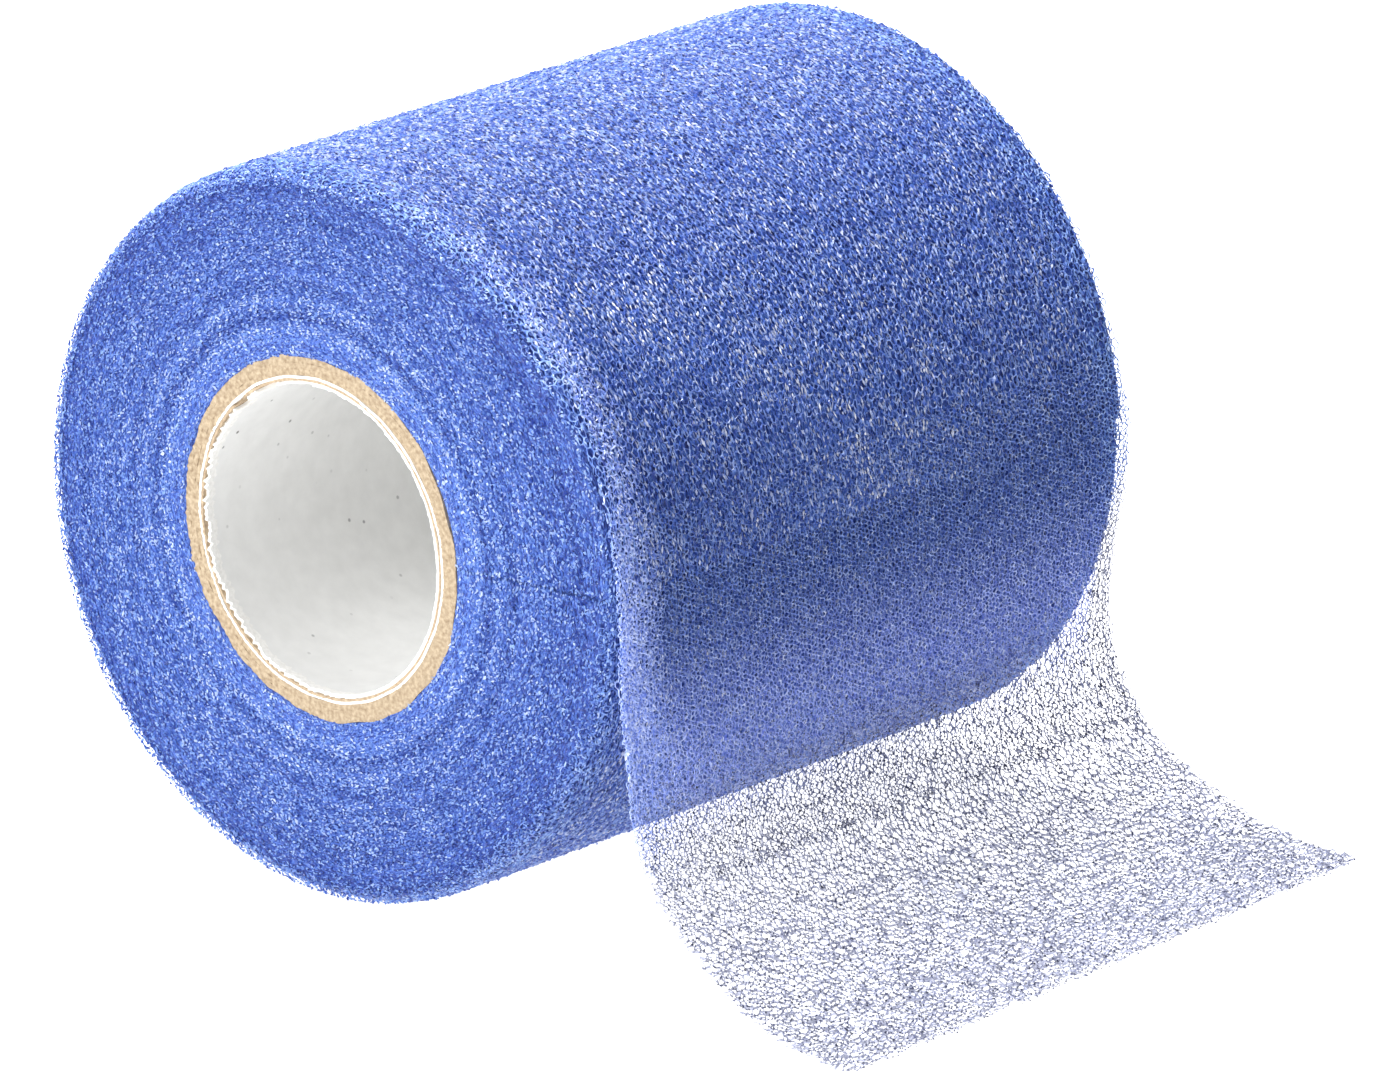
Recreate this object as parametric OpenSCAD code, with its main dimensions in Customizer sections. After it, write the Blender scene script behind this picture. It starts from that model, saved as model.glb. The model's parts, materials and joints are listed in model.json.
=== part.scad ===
// Roll of foam underwrap film on a paper core, lying on its side.
// The origin is the middle of the core's bore. +Y runs along the roll's axis,
// +Z is up, and the loose end of the film hangs down on the +X side.

/* [Film] */
// Width of the film, and of the roll
film_w = 70; // [50:1:76]
// Thickness of one loose layer of film
film_t = 0.4; // [0.4:0.05:0.8]
// Radius of the roll where its last turn ends
roll_r = 34.4; // [30:0.2:38]
// How far the roll's own weight flattens its underside
rest_depth = 0.2; // [0.15:0.05:0.35]

/* [Paper core] */
// Bore of the core, for a spindle or two fingers
bore_d = 28.6; // [25:0.1:30]
// Thickness of the white liner paper that faces the bore
liner_t = 0.35; // [0.2:0.05:0.5]
// Thickness of the brown paper behind the liner
backing_t = 0.25; // [0.2:0.05:0.4]
// Thickness of the white paper between the brown papers
white_ply_t = 0.25; // [0.2:0.05:0.4]
// Thickness of each of the three outer kraft papers
kraft_t = 0.57; // [0.4:0.01:0.7]

/* [Start tape] */
// Thickness of the tape that holds the film's first turn to the core
tape_t = 0.15; // [0.1:0.05:0.3]
// Width of the tape around the core
tape_w = 6; // [4:1:10]
// Length of the tape along the core
tape_len = 60; // [40:1:66]

/* [Loose end] */
// Angle above the horizontal at which the film leaves the roll
leave_angle = 4; // [3:1:8]
// Straight drop of the film, as a share of the roll's radius
drop_share = 0.58; // [0.5:0.01:0.6]
// Radius of the sweep under the drop, as a share of the roll's radius
sweep_share = 0.44; // [0.38:0.01:0.45]
// Slope of the film where the sweep eases into the foot
foot_angle = 30; // [26:1:34]
// Length of film that lies flat at the cut end
flat_len = 4.5; // [2:0.5:12]
// Gap between two lengths of film at a fold line
fold_gap = 0.5; // [0.4:0.05:0.8]

/* [Hidden] */

round_fn = 96;         // facets of a preview circle
turn_steps = 90;       // straight steps in the last turn
arc_steps = 12;        // straight steps in each bend of the loose end
lap_gap = 0.25;        // radial gap between the loose end and the turn under it
cut_over = 1;          // how far a cutter runs past the face it cuts

// Radii of the core's papers, from the bore outwards
liner_r = bore_d / 2;
backing_r = liner_r + liner_t;
white_ply_r = backing_r + backing_t;
kraft_inner_r = white_ply_r + white_ply_t;
kraft_middle_r = kraft_inner_r + kraft_t;
kraft_outer_r = kraft_middle_r + kraft_t;
core_r = kraft_outer_r + kraft_t;

// The tape lies under the first turn, at the top of the core
tape_angle = tape_w / core_r * 180 / PI;
tape_start = 90 - tape_angle / 2;

// The last turn climbs by one pitch, from under the loose end back to it
turn_pitch = film_t + lap_gap;
turn_gap_share = fold_gap / 2 / (2 * PI * roll_r);
bottom_share = (90 + leave_angle) / 360;

function polar(r, angle) = [r * cos(angle), r * sin(angle)];
// Outer radius of the last turn after a share of that turn, and its direction
function turn_r(share) = roll_r - turn_pitch * (1 - share);
function turn_angle(share) = leave_angle - 360 * share;
function turn_point(share, depth) = polar(turn_r(share) - depth, turn_angle(share));

// The roll lies on a narrow flat, where its soft underside is pressed in
floor_z = rest_depth - turn_r(bottom_share);
function rested(point) = [point[0], max(point[1], floor_z)];

// The loose end is drawn along its outer face. Its slope is the angle below
// the horizontal: steep at the roll, and level at the cut end.
leave_point = polar(roll_r, leave_angle);
drop_slope = 90 - leave_angle;
drop_len = drop_share * roll_r;
sweep_r = sweep_share * roll_r;
drop_end = leave_point + drop_len * [cos(drop_slope), -sin(drop_slope)];
sweep_end = drop_end + bend(sweep_r, drop_slope, foot_angle);
foot_r = (sweep_end[1] - floor_z - film_t) / (1 - cos(foot_angle));
foot_end = sweep_end + bend(foot_r, foot_angle, 0);
sweep_trim = fold_gap / 2 / sweep_r * 180 / PI;
foot_trim = fold_gap / 2 / foot_r * 180 / PI;

// Step taken along a bend of radius r while the slope eases from one to another
function bend(r, from, to) = r * [sin(from) - sin(to), cos(from) - cos(to)];
// Place and slope at each step of a bend that starts at point with slope first
function bend_path(point, r, first, from, to) = [
    for (i = [0:arc_steps])
        let (slope = from + (to - from) * i / arc_steps)
        [point + bend(r, first, slope), slope]
];
// The inner face lies one film thickness under the outer one
function inner_point(station) =
    station[0] - film_t * [sin(station[1]), cos(station[1])];
function reversed(list) = [for (i = [len(list) - 1:-1:0]) list[i]];

// Stands a flat outline up, so that it runs the width of the film along Y
module across(width = film_w) {
    rotate([90, 0, 0])
        linear_extrude(width, center = true)
            children();
}

// One paper of the core, as a plain tube
module ply(inner_r, outer_r) {
    rotate([90, 0, 0])
        difference() {
            cylinder(h = film_w, r = outer_r, center = true, $fn = round_fn);
            cylinder(h = film_w + 2 * cut_over, r = inner_r, center = true, $fn = round_fn);
        }
}

// A length of film whose outer face passes through the stations
module film_strip(stations) {
    outer = [for (station = stations) station[0]];
    inner = [for (station = stations) inner_point(station)];
    across()
        polygon(concat(outer, reversed(inner)));
}

module core_liner() {
    color("whitesmoke") ply(liner_r, backing_r);
}

module core_backing_ply() {
    color("tan") ply(backing_r, white_ply_r);
}

module core_white_ply() {
    color("white") ply(white_ply_r, kraft_inner_r);
}

module core_kraft_inner() {
    color("burlywood") ply(kraft_inner_r, kraft_middle_r);
}

module core_kraft_middle() {
    color("tan") ply(kraft_middle_r, kraft_outer_r);
}

module core_kraft_outer() {
    color("burlywood") ply(kraft_outer_r, core_r);
}

// Arc of tape on the core
module tape_solid() {
    rotate([90, 0, 0])
        translate([0, 0, -tape_len / 2])
            rotate([0, 0, tape_start])
                rotate_extrude(angle = tape_angle, $fn = round_fn)
                    translate([core_r, 0])
                        square([tape_t, tape_len]);
}

module start_tape() {
    color("lightyellow") tape_solid();
}

// All the turns under the last one, pressed together by the winding
module wound_film() {
    outline = [for (i = [0:turn_steps]) turn_point(i / turn_steps, film_t)];
    color("royalblue")
        difference() {
            across() polygon(outline);
            rotate([90, 0, 0])
                cylinder(h = film_w + 2 * cut_over, r = core_r, center = true, $fn = round_fn);
            tape_solid();
        }
}

// The last whole turn, from under the loose end round to the line it leaves at
module outer_turn() {
    last_share = 1 - turn_gap_share;
    shares = [for (i = [0:turn_steps]) min(i / turn_steps, last_share)];
    outer = [for (share = shares) rested(turn_point(share, 0))];
    inner = [for (share = shares) turn_point(share, film_t)];
    color("cornflowerblue")
        across() polygon(concat(outer, reversed(inner)));
}

// The straight length that hangs beside the roll
module tail_drop() {
    step = [cos(drop_slope), -sin(drop_slope)];
    color("lightsteelblue")
        film_strip([
            [leave_point + fold_gap / 2 * step, drop_slope],
            [drop_end - fold_gap / 2 * step, drop_slope]
        ]);
}

// The length that bends forward, away from the roll
module tail_sweep() {
    color("lightsteelblue")
        film_strip(bend_path(
            drop_end, sweep_r, drop_slope,
            drop_slope - sweep_trim, foot_angle + sweep_trim
        ));
}

// The length that eases down to the surface and lies flat to its cut end
module tail_foot() {
    cut_end = foot_end + [flat_len, 0];
    color("lightsteelblue")
        film_strip(concat(
            bend_path(sweep_end, foot_r, foot_angle, foot_angle - foot_trim, 0),
            [[cut_end, 0]]
        ));
}

core_liner();
core_backing_ply();
core_white_ply();
core_kraft_inner();
core_kraft_middle();
core_kraft_outer();
start_tape();
wound_film();
outer_turn();
tail_drop();
tail_sweep();
tail_foot();
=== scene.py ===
"""Roll of foam underwrap film on a paper core, lying on a white table with its loose end hanging in front.

Lengths are in metres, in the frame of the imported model: +Y runs along the roll, +Z is up and the loose end is
on the +X side. A place on the film is (along, across, off): along the strip from the line where it leaves the
roll, across its width from its middle, and off its outer face.
"""

import json
import math

import bpy
import numpy as np
from mathutils import Vector
from mathutils.geometry import delaunay_2d_cdt
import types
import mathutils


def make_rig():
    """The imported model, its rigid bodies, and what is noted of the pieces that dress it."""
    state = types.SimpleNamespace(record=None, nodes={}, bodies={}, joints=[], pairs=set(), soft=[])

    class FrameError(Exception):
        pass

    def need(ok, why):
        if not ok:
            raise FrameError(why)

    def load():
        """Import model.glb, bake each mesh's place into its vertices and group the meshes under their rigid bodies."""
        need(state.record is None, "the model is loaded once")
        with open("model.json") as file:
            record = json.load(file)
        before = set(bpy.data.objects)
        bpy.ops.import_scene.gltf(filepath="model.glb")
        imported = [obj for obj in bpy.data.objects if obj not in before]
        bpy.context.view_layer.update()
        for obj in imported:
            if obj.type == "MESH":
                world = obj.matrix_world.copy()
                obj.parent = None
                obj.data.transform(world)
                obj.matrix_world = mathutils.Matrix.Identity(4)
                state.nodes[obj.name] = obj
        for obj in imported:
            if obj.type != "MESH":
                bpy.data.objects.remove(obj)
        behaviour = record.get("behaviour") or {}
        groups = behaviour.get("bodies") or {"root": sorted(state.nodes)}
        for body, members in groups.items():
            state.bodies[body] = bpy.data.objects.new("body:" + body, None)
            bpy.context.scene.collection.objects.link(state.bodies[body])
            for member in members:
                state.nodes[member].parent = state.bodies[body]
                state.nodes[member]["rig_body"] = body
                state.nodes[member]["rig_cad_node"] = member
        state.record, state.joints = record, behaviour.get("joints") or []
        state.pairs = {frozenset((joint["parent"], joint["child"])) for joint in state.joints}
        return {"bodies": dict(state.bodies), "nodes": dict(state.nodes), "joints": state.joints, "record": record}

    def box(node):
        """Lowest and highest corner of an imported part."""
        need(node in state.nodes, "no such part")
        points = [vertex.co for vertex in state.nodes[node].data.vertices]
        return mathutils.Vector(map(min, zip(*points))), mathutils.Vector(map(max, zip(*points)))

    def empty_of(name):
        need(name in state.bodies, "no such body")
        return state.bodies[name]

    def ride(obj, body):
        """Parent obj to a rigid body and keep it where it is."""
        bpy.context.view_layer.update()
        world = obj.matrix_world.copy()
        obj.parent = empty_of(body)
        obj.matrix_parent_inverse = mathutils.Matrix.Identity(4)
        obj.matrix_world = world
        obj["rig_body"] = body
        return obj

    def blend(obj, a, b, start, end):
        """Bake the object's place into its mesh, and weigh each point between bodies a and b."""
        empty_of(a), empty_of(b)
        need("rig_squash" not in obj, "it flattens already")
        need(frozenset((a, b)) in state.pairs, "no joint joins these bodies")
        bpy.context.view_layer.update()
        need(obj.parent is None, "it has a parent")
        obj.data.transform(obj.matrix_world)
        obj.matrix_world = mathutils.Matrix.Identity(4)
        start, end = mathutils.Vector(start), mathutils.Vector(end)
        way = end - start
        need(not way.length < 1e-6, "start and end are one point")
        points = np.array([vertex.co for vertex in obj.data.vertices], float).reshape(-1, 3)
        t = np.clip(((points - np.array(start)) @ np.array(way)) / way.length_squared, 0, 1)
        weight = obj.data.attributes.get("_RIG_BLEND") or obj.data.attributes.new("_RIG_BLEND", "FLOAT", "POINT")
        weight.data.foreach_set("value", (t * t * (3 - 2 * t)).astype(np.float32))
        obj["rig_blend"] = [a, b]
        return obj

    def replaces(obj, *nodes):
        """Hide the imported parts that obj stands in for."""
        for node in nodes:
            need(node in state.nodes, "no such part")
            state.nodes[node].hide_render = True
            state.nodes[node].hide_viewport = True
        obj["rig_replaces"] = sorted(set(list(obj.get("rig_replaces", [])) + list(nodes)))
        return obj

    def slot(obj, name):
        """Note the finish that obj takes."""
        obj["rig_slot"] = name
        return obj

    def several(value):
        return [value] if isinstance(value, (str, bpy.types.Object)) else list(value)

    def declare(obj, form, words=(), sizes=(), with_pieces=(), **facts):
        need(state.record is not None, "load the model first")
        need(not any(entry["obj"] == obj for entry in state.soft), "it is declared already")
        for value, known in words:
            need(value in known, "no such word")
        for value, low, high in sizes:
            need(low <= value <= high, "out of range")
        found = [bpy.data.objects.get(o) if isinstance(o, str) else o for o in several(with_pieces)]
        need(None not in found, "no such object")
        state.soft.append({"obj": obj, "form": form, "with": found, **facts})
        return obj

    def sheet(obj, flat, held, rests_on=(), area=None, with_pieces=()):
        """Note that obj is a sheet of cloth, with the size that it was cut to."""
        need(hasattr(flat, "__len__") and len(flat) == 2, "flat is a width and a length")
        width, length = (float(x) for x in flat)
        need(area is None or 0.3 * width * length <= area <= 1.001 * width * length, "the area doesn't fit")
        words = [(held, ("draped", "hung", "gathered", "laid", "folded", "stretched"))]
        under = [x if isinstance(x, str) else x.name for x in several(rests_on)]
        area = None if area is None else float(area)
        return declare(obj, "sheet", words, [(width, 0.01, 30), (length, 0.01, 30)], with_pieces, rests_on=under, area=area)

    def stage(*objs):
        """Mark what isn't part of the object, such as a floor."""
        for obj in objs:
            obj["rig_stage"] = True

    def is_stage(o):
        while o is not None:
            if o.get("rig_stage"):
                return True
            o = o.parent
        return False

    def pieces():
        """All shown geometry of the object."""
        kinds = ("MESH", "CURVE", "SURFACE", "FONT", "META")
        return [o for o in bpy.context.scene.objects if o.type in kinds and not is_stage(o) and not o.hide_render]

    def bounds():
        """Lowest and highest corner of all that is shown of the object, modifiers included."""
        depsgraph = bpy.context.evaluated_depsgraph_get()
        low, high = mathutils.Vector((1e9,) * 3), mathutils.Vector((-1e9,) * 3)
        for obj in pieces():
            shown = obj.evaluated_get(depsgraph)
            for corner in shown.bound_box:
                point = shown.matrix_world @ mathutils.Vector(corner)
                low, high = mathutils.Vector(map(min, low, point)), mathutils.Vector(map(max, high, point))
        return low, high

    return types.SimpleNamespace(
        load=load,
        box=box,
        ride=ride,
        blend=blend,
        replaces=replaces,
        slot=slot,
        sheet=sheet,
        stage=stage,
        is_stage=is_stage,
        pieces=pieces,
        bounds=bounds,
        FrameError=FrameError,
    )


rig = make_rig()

MM = 0.001
STRIP_UV = "strip"  # UV map of places on the film, in metres

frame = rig.load()
cad_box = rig.bounds()

# ---------------------------------------------------------------- sizes, from the frame


def joint_place(name):
    """Place of a hinge, as x and z."""
    joint = next(j for j in frame["joints"] if j["name"] == name)
    return np.array([joint["pos_m"][0], joint["pos_m"][2]])


turn_low, turn_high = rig.box("outer_turn")

FILM_W = turn_high.y - turn_low.y
HALF_W = FILM_W / 2
FLOOR_Z = turn_low.z
CORE_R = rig.box("core_kraft_outer")[1].x
BORE_R = frame["record"]["mounts"][0]["dims"]["r_mm"] * MM
FILM_T = 0.4 * MM  # the loose film's thickness
TURN_PITCH = 0.65 * MM  # how much nearer the axis the last turn starts than it ends
PACK_DEPTH = 0.3 * MM  # of the pressed turns, under the last turn's outer face

LEAVE = joint_place("tail_lift")
BEND = joint_place("sweep_lift")
EASE = joint_place("foot_lift")
ROLL_R = float(np.hypot(*LEAVE))
LEAVE_ANGLE = math.atan2(LEAVE[1], LEAVE[0])
TURN_LEN = 2 * math.pi * (ROLL_R - TURN_PITCH / 2)

# The loose end: a straight drop, a sweep, a wider bend that eases to the floor, and a flat foot
DROP_SLOPE = math.pi / 2 - LEAVE_ANGLE
DROP_LEN = float(np.hypot(*(BEND - LEAVE)))
SWEEP_CHORD = EASE - BEND
FOOT_SLOPE = 2 * math.atan2(-SWEEP_CHORD[1], SWEEP_CHORD[0]) - DROP_SLOPE
SWEEP_R = float(np.hypot(*SWEEP_CHORD)) / (2 * math.sin((DROP_SLOPE - FOOT_SLOPE) / 2))
SWEEP_LEN = SWEEP_R * (DROP_SLOPE - FOOT_SLOPE)
FOOT_R = (EASE[1] - FLOOR_Z - FILM_T) / (1 - math.cos(FOOT_SLOPE))
EASE_LEN = FOOT_R * FOOT_SLOPE
FLAT_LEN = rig.box("tail_foot")[1].x - EASE[0] - FOOT_R * math.sin(FOOT_SLOPE)
FOLDS = [0, DROP_LEN, DROP_LEN + SWEEP_LEN]
TAIL_LEN = DROP_LEN + SWEEP_LEN + EASE_LEN + FLAT_LEN

# ---------------------------------------------------------------- sizes, from the photograph

# The roll bulges out of round at its near end, over an arc in degrees on the side where the film leaves it
SWELL = 2.4 * MM
SWELL_ARC = (-58, 76)

# The roll's side falls away at its near and far end: (width, depth)
NEAR_RIM = (2.4 * MM, 0.4 * MM)
FAR_RIM = (1.6 * MM, 0.45 * MM)

# Hills along the loose end's two edges, which lift them off its plain line: (from, to, height)
NEAR_HILLS = [(4 * MM, 58 * MM, 3.9 * MM)]
FAR_HILLS = [(-9 * MM, 13 * MM, 0.6 * MM), (1 * MM, 38 * MM, -2.6 * MM)]
SWELL_FADE = (0, 26 * MM)  # along the film, where the loose end loses the roll's bulge

# From a place along it on, the loose end is drawn out: along itself, further at its near corner, and sideways
FLARE_START = 10 * MM
DRAWN_ALONG, DRAWN_NEAR, DRAWN_SIDE = 1.1 * MM, 2.6 * MM, -2.0 * MM

# Where changes start and end along the film
UNPRESSED = (-34 * MM, -6 * MM)  # the rims stop pulling its edges down
STANDS_OFF = (-6 * MM, 10 * MM)  # it comes away from the roll
PAST_ROLL = (12 * MM, 26 * MM)  # the table lies behind it, and its struts are finer
FILLS_OUT = (12 * MM, 30 * MM)  # its nodes wander further off its middle
FIRST_KNOTS, MORE_KNOTS = (15 * MM, 23 * MM), (26 * MM, 40 * MM)
VEILS_START = (30 * MM, 40 * MM)
FAR_EDGE = (30.5 * MM, 34.8 * MM)  # across it: towards its far edge it is past the roll sooner
FAR_LEAD = 14 * MM  # by this length of film

# The matted strip by the near edge. Distances from the middle of the film: where it fades in and where the
# roll's rim begins. Along the film: where it starts, lifts off the rim and ends.
EDGE_INSET, EDGE_FADE = 29 * MM, 4 * MM
ON_RIM = (33 * MM, 34.2 * MM)
EDGE_STARTS, LIFTS_OFF, EDGE_ENDS = (-52 * MM, -14 * MM), (-12 * MM, 4 * MM), (10 * MM, 22 * MM)

# Cells, and flecks of foam as (length, width, height)
FRONT_OFF, BACK_OFF = -0.16 * MM, -0.36 * MM  # the middles of the film's two layers of cells
JITTER = 0.2  # of the cells' middles off an even grid, in cells
NODE_FILL = 0.62  # how far foam reaches from a node into its cell, in widths of its struts
LEAST_FILL, MOST_FILL = 0.06, 0.75  # of the way to the cell's middle
VEIL_T, VEIL_REACH = 0.04 * MM, 0.6  # thickness, and where its edge is on the foam's way into the cell
MOST_VEILS = 0.1  # share of the cells in a patch
KNOT = np.array([0.25, 0.19, 0.2]) * MM
EDGE_FLECK, EDGE_PITCH = np.array([0.45, 0.18, 0.16]) * MM, np.array([0.24, 0.24]) * MM
SIDE_FLECK, SIDE_PITCH = np.array([0.56, 0.19, 0.2]) * MM, np.array([0.42, 0.32]) * MM
SIDE_OFF, END_OFF = 0.16 * MM, 0.04 * MM  # how far their middles stand off the pressed turns
FLECK_SLANT, FLECK_TILT = 0.12, 0.3  # how far they lean off the film, along and across themselves
FLECK_SPREAD, OFF_SPREAD = 0.3, 0.08 * MM  # of their sizes, as a share, and of their places off the film
EDGE_MARGIN = 0.15 * MM  # kept clear of them

# ---------------------------------------------------------------- the film's path


def turn_radius(back):
    """Outer radius of the last turn, a length back along the film from the line where it leaves."""
    return ROLL_R - TURN_PITCH * back / TURN_LEN


def bend_step(radius, first, slope):
    """Steps in x and z round a bend, from its first slope to another."""
    return radius * (np.sin(first) - np.sin(slope)), radius * (np.cos(first) - np.cos(slope))


def film_line(along):
    """x, z and slope of the film's outer face. The slope is the angle below the horizontal."""
    along = np.asarray(along, float)
    back = np.maximum(-along, 0)
    angle = LEAVE_ANGLE + back / TURN_LEN * 2 * math.pi
    radius = turn_radius(back)
    x, z, slope = radius * np.cos(angle), radius * np.sin(angle), math.pi / 2 - angle

    drop = np.clip(along, 0, DROP_LEN)
    x = x + drop * math.cos(DROP_SLOPE)
    z = z - drop * math.sin(DROP_SLOPE)

    swept = np.clip(along - DROP_LEN, 0, SWEEP_LEN) / SWEEP_R
    step_x, step_z = bend_step(SWEEP_R, DROP_SLOPE, DROP_SLOPE - swept)
    x, z, slope = x + step_x, z + step_z, slope - swept

    eased = np.clip(along - DROP_LEN - SWEEP_LEN, 0, EASE_LEN) / FOOT_R
    step_x, step_z = bend_step(FOOT_R, FOOT_SLOPE, FOOT_SLOPE - eased)
    x, z, slope = x + step_x, z + step_z, slope - eased

    x = x + np.maximum(along - DROP_LEN - SWEEP_LEN - EASE_LEN, 0)
    return x, np.maximum(z, FLOOR_Z), slope


def ease(value, low, high):
    """0 up to low and 1 from high on, with a smooth step between."""
    share = np.clip((value - low) / (high - low), 0, 1)
    return share * share * (3 - 2 * share)


def bump(value, low, high):
    """A smooth hill that is 0 outside low to high and 1 half way."""
    share = np.clip((value - low) / (high - low), 0, 1)
    return np.sin(math.pi * share) ** 2


def hills(along, rows):
    """The sum of some hills, each (from, to, height)."""
    return sum(height * bump(along, start, end) for start, end, height in rows)


def near_share(across):
    """0 at the far end of the roll and 1 at its near end."""
    return np.clip(0.5 - across / FILM_W, 0, 1)


def swell(angle, across):
    """How far the roll bulges out of round."""
    away = np.degrees(np.angle(np.exp(1j * angle)))
    return SWELL * bump(away, *SWELL_ARC) * near_share(across) ** 1.5


def film_bow(along, across):
    """How far the film stands off its plain line: by the roll's bulge and the hills along its edges."""
    near, far = np.clip(-across / HALF_W, 0, 1), np.clip(across / HALF_W, 0, 1)
    held = swell(LEAVE_ANGLE - np.minimum(along, 0) / TURN_LEN * 2 * math.pi, across)
    lifted = near * hills(along, NEAR_HILLS) + far * hills(along, FAR_HILLS)
    return held * (1 - ease(along, *SWELL_FADE)) + lifted


def film_flare(along, across):
    """How far the loose end is drawn out along itself and towards the near side."""
    free, near = ease(along, FLARE_START, TAIL_LEN), near_share(across)
    return free * (DRAWN_ALONG + DRAWN_NEAR * near), free * near**2 * DRAWN_SIDE


def rim_drop(across):
    """How far the roll's side falls away at a place across it, as a quarter of an ellipse at each end."""
    width, depth = np.where(across < 0, *np.array([NEAR_RIM, FAR_RIM]).T[..., None])
    share = np.clip((np.abs(across) - HALF_W + width) / width, 0, 1)
    return depth * (1 - np.sqrt(1 - share**2))


def film_place(along, across, off):
    """Points for places on the film."""
    drawn, spread = film_flare(along, across)
    along, across = along + drawn, across + spread
    x, z, slope = film_line(along)
    pressed = 1 - ease(along, *UNPRESSED)
    out = off + film_bow(along, across) - rim_drop(across) * pressed
    x, z = x + out * np.sin(slope), z + out * np.cos(slope)
    return np.stack([x, across, np.maximum(z, FLOOR_Z)], axis=-1)


def pack_place(along, across, off):
    """Points for places on the side of the pressed turns, before the rims fall away."""
    angle = LEAVE_ANGLE - along / TURN_LEN * 2 * math.pi
    radius = turn_radius(-along) - PACK_DEPTH + swell(angle, across) + off
    return np.stack([radius * np.cos(angle), across, radius * np.sin(angle)], axis=-1)


# ---------------------------------------------------------------- meshes


def mesh_piece(name, points, parts, materials, strip=None, smooth=False):
    """An object from points and parts. A part is an array of faces with the same number of corners, and takes
    the material in the same place of the list. strip gives each point's place (along, across) as a UV map."""
    mesh = bpy.data.meshes.new(name)
    mesh.vertices.add(len(points))
    mesh.vertices.foreach_set("co", np.asarray(points, np.float32).ravel())
    corners = np.concatenate([part.ravel() for part in parts]).astype(np.int32)
    sizes = np.concatenate([np.full(len(part), part.shape[1], np.int32) for part in parts])
    slots = np.concatenate([np.full(len(part), slot, np.int32) for slot, part in enumerate(parts)])
    mesh.loops.add(len(corners))
    mesh.loops.foreach_set("vertex_index", corners)
    mesh.polygons.add(len(sizes))
    mesh.polygons.foreach_set("loop_start", (np.cumsum(sizes) - sizes).astype(np.int32))
    mesh.polygons.foreach_set("material_index", slots)
    mesh.polygons.foreach_set("use_smooth", np.full(len(sizes), smooth))
    if strip is not None:
        uv = mesh.uv_layers.new(name=STRIP_UV)
        uv.data.foreach_set("uv", np.asarray(strip, np.float32)[corners].ravel())
    mesh.update(calc_edges=True)
    mesh.validate()
    piece = bpy.data.objects.new(name, mesh)
    bpy.context.scene.collection.objects.link(piece)
    for material in materials:
        mesh.materials.append(material)
    return piece


def edge_share(along, across):
    """1 in the matted strip by the near edge, which keeps off the roll's rim until the film lifts off."""
    inset = np.clip((-across - EDGE_INSET) / EDGE_FADE, 0, 1)
    off_rim = (1 - ease(-across, *ON_RIM)) + ease(along, *LIFTS_OFF)
    starts, ends = ease(along, *EDGE_STARTS), 1 - ease(along, *EDGE_ENDS)
    return inset * np.clip(off_rim, 0, 1) * starts * ends


def strut_width(along, across):
    """Narrower where the film stands off the roll and past it, and wider in its matted strip."""
    narrowed = 0.02 * ease(along, *STANDS_OFF) + 0.04 * ease(along, *PAST_ROLL)
    return (0.11 - narrowed + 0.05 * edge_share(along, across)) * MM


def back_strut_width(along, across):
    return (0.06 - 0.025 * ease(along, *PAST_ROLL)) * MM


def strut_depth(along):
    """The height of the struts. It is less where the film lies on the table and is seen through."""
    return (0.1 - 0.05 * ease(along, *PAST_ROLL)) * MM


def node_ripple(along):
    """How far the film's nodes wander off its middle: more where it hangs free and has its full depth."""
    return (0.08 + 0.08 * ease(along, *FILLS_OUT)) * MM


def veil_share(along, across):
    """Veils come in patches, where the loose end lies over the table."""
    patch = np.sin(along / (3.1 * MM) + 2 * np.sin(across / (5.3 * MM)))
    patch = patch * np.sin(across / (4.7 * MM) + along / (9 * MM))
    return ease(along, *VEILS_START) * MOST_VEILS * np.clip(patch + 0.5, 0, 1)


def no_veils(along, across):
    return np.zeros_like(along)


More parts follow.
